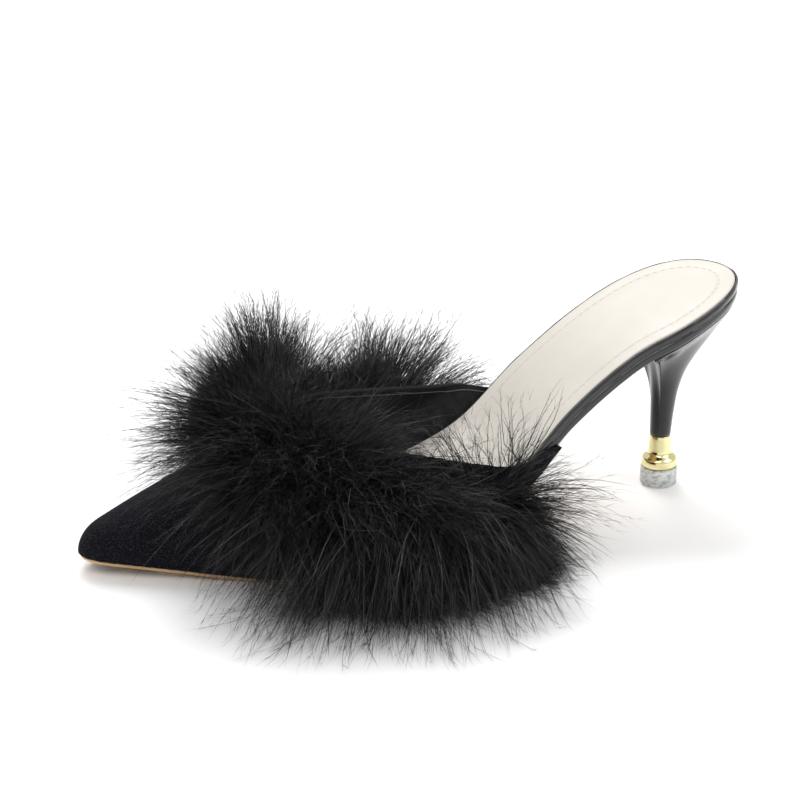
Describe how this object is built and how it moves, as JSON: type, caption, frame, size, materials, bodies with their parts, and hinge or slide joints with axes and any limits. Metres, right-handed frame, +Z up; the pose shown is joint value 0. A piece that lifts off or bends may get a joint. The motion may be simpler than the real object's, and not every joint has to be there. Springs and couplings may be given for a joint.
{
  "type": "heeled mule shoe",
  "caption": "Left pointed-toe mule with a slim heel, a suede vamp edged with a wide marabou feather trim, a patent-wrapped board and a gold collar over a clear heel tip.",
  "frame": {"origin": "on the floor under the centre of the footprint, feathers included", "axes": "+X from the toe to the heel, +Y to the inner side of the foot, +Z up from the floor"},
  "size_m": [0.2322, 0.1728, 0.0786],
  "materials": {
    "sole_leather": "smooth, satin",
    "patent_wrap": "patent, high gloss",
    "insole_leather": "smooth, matte",
    "heel_wrap": "patent, high gloss",
    "gold": "polished, pale gold",
    "clear_plastic": "clear, with a few swirls",
    "suede": "fine nap, matte",
    "feather": "loose barbs, matte"
  },
  "bodies": {
    "root": {"outsole": "sole_leather", "insole_board": "patent_wrap", "insole": "insole_leather", "heel": "heel_wrap", "heel_collar": "gold", "heel_tip": "clear_plastic", "upper": "suede", "feather_trim": "feather"}
  },
  "joints": []
}
